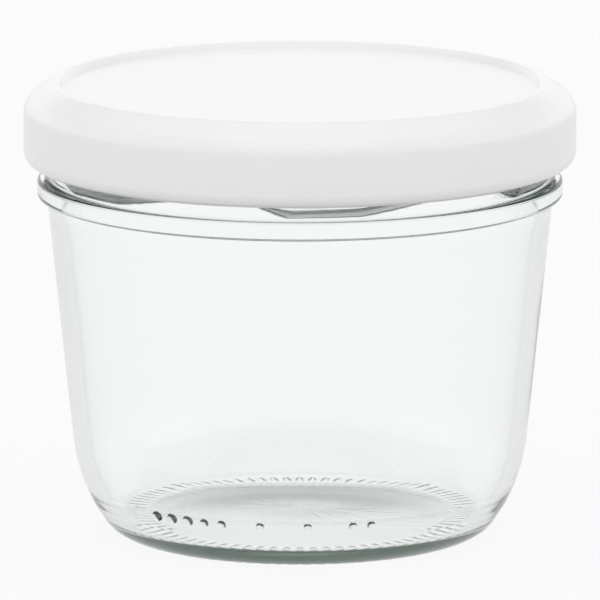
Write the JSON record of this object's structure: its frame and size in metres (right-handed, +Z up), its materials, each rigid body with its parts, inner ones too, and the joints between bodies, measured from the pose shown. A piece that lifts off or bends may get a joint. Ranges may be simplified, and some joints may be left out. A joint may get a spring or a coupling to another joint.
{
  "type": "jam jar",
  "caption": "Round tapered jam jar of clear glass with a rounded heel, a knurled foot, a bead under its mouth and a white twist-off metal lid; empty and closed.",
  "frame": {"origin": "middle of the foot, on the surface that the jar stands on", "axes": "+Z up along the jar's axis; -Y is the front, with the mould dots low on the glass; +X is to the right seen from the front"},
  "size_m": [0.086, 0.086, 0.0712],
  "materials": {
    "clear_glass": "clear moulded soda-lime glass, faintly green in its thick edges, fire-polished",
    "white_lacquer": "glossy white lacquer on pressed tinplate"
  },
  "bodies": {
    "root": {"glass_jar": "clear_glass", "lid": "white_lacquer"}
  },
  "joints": []
}
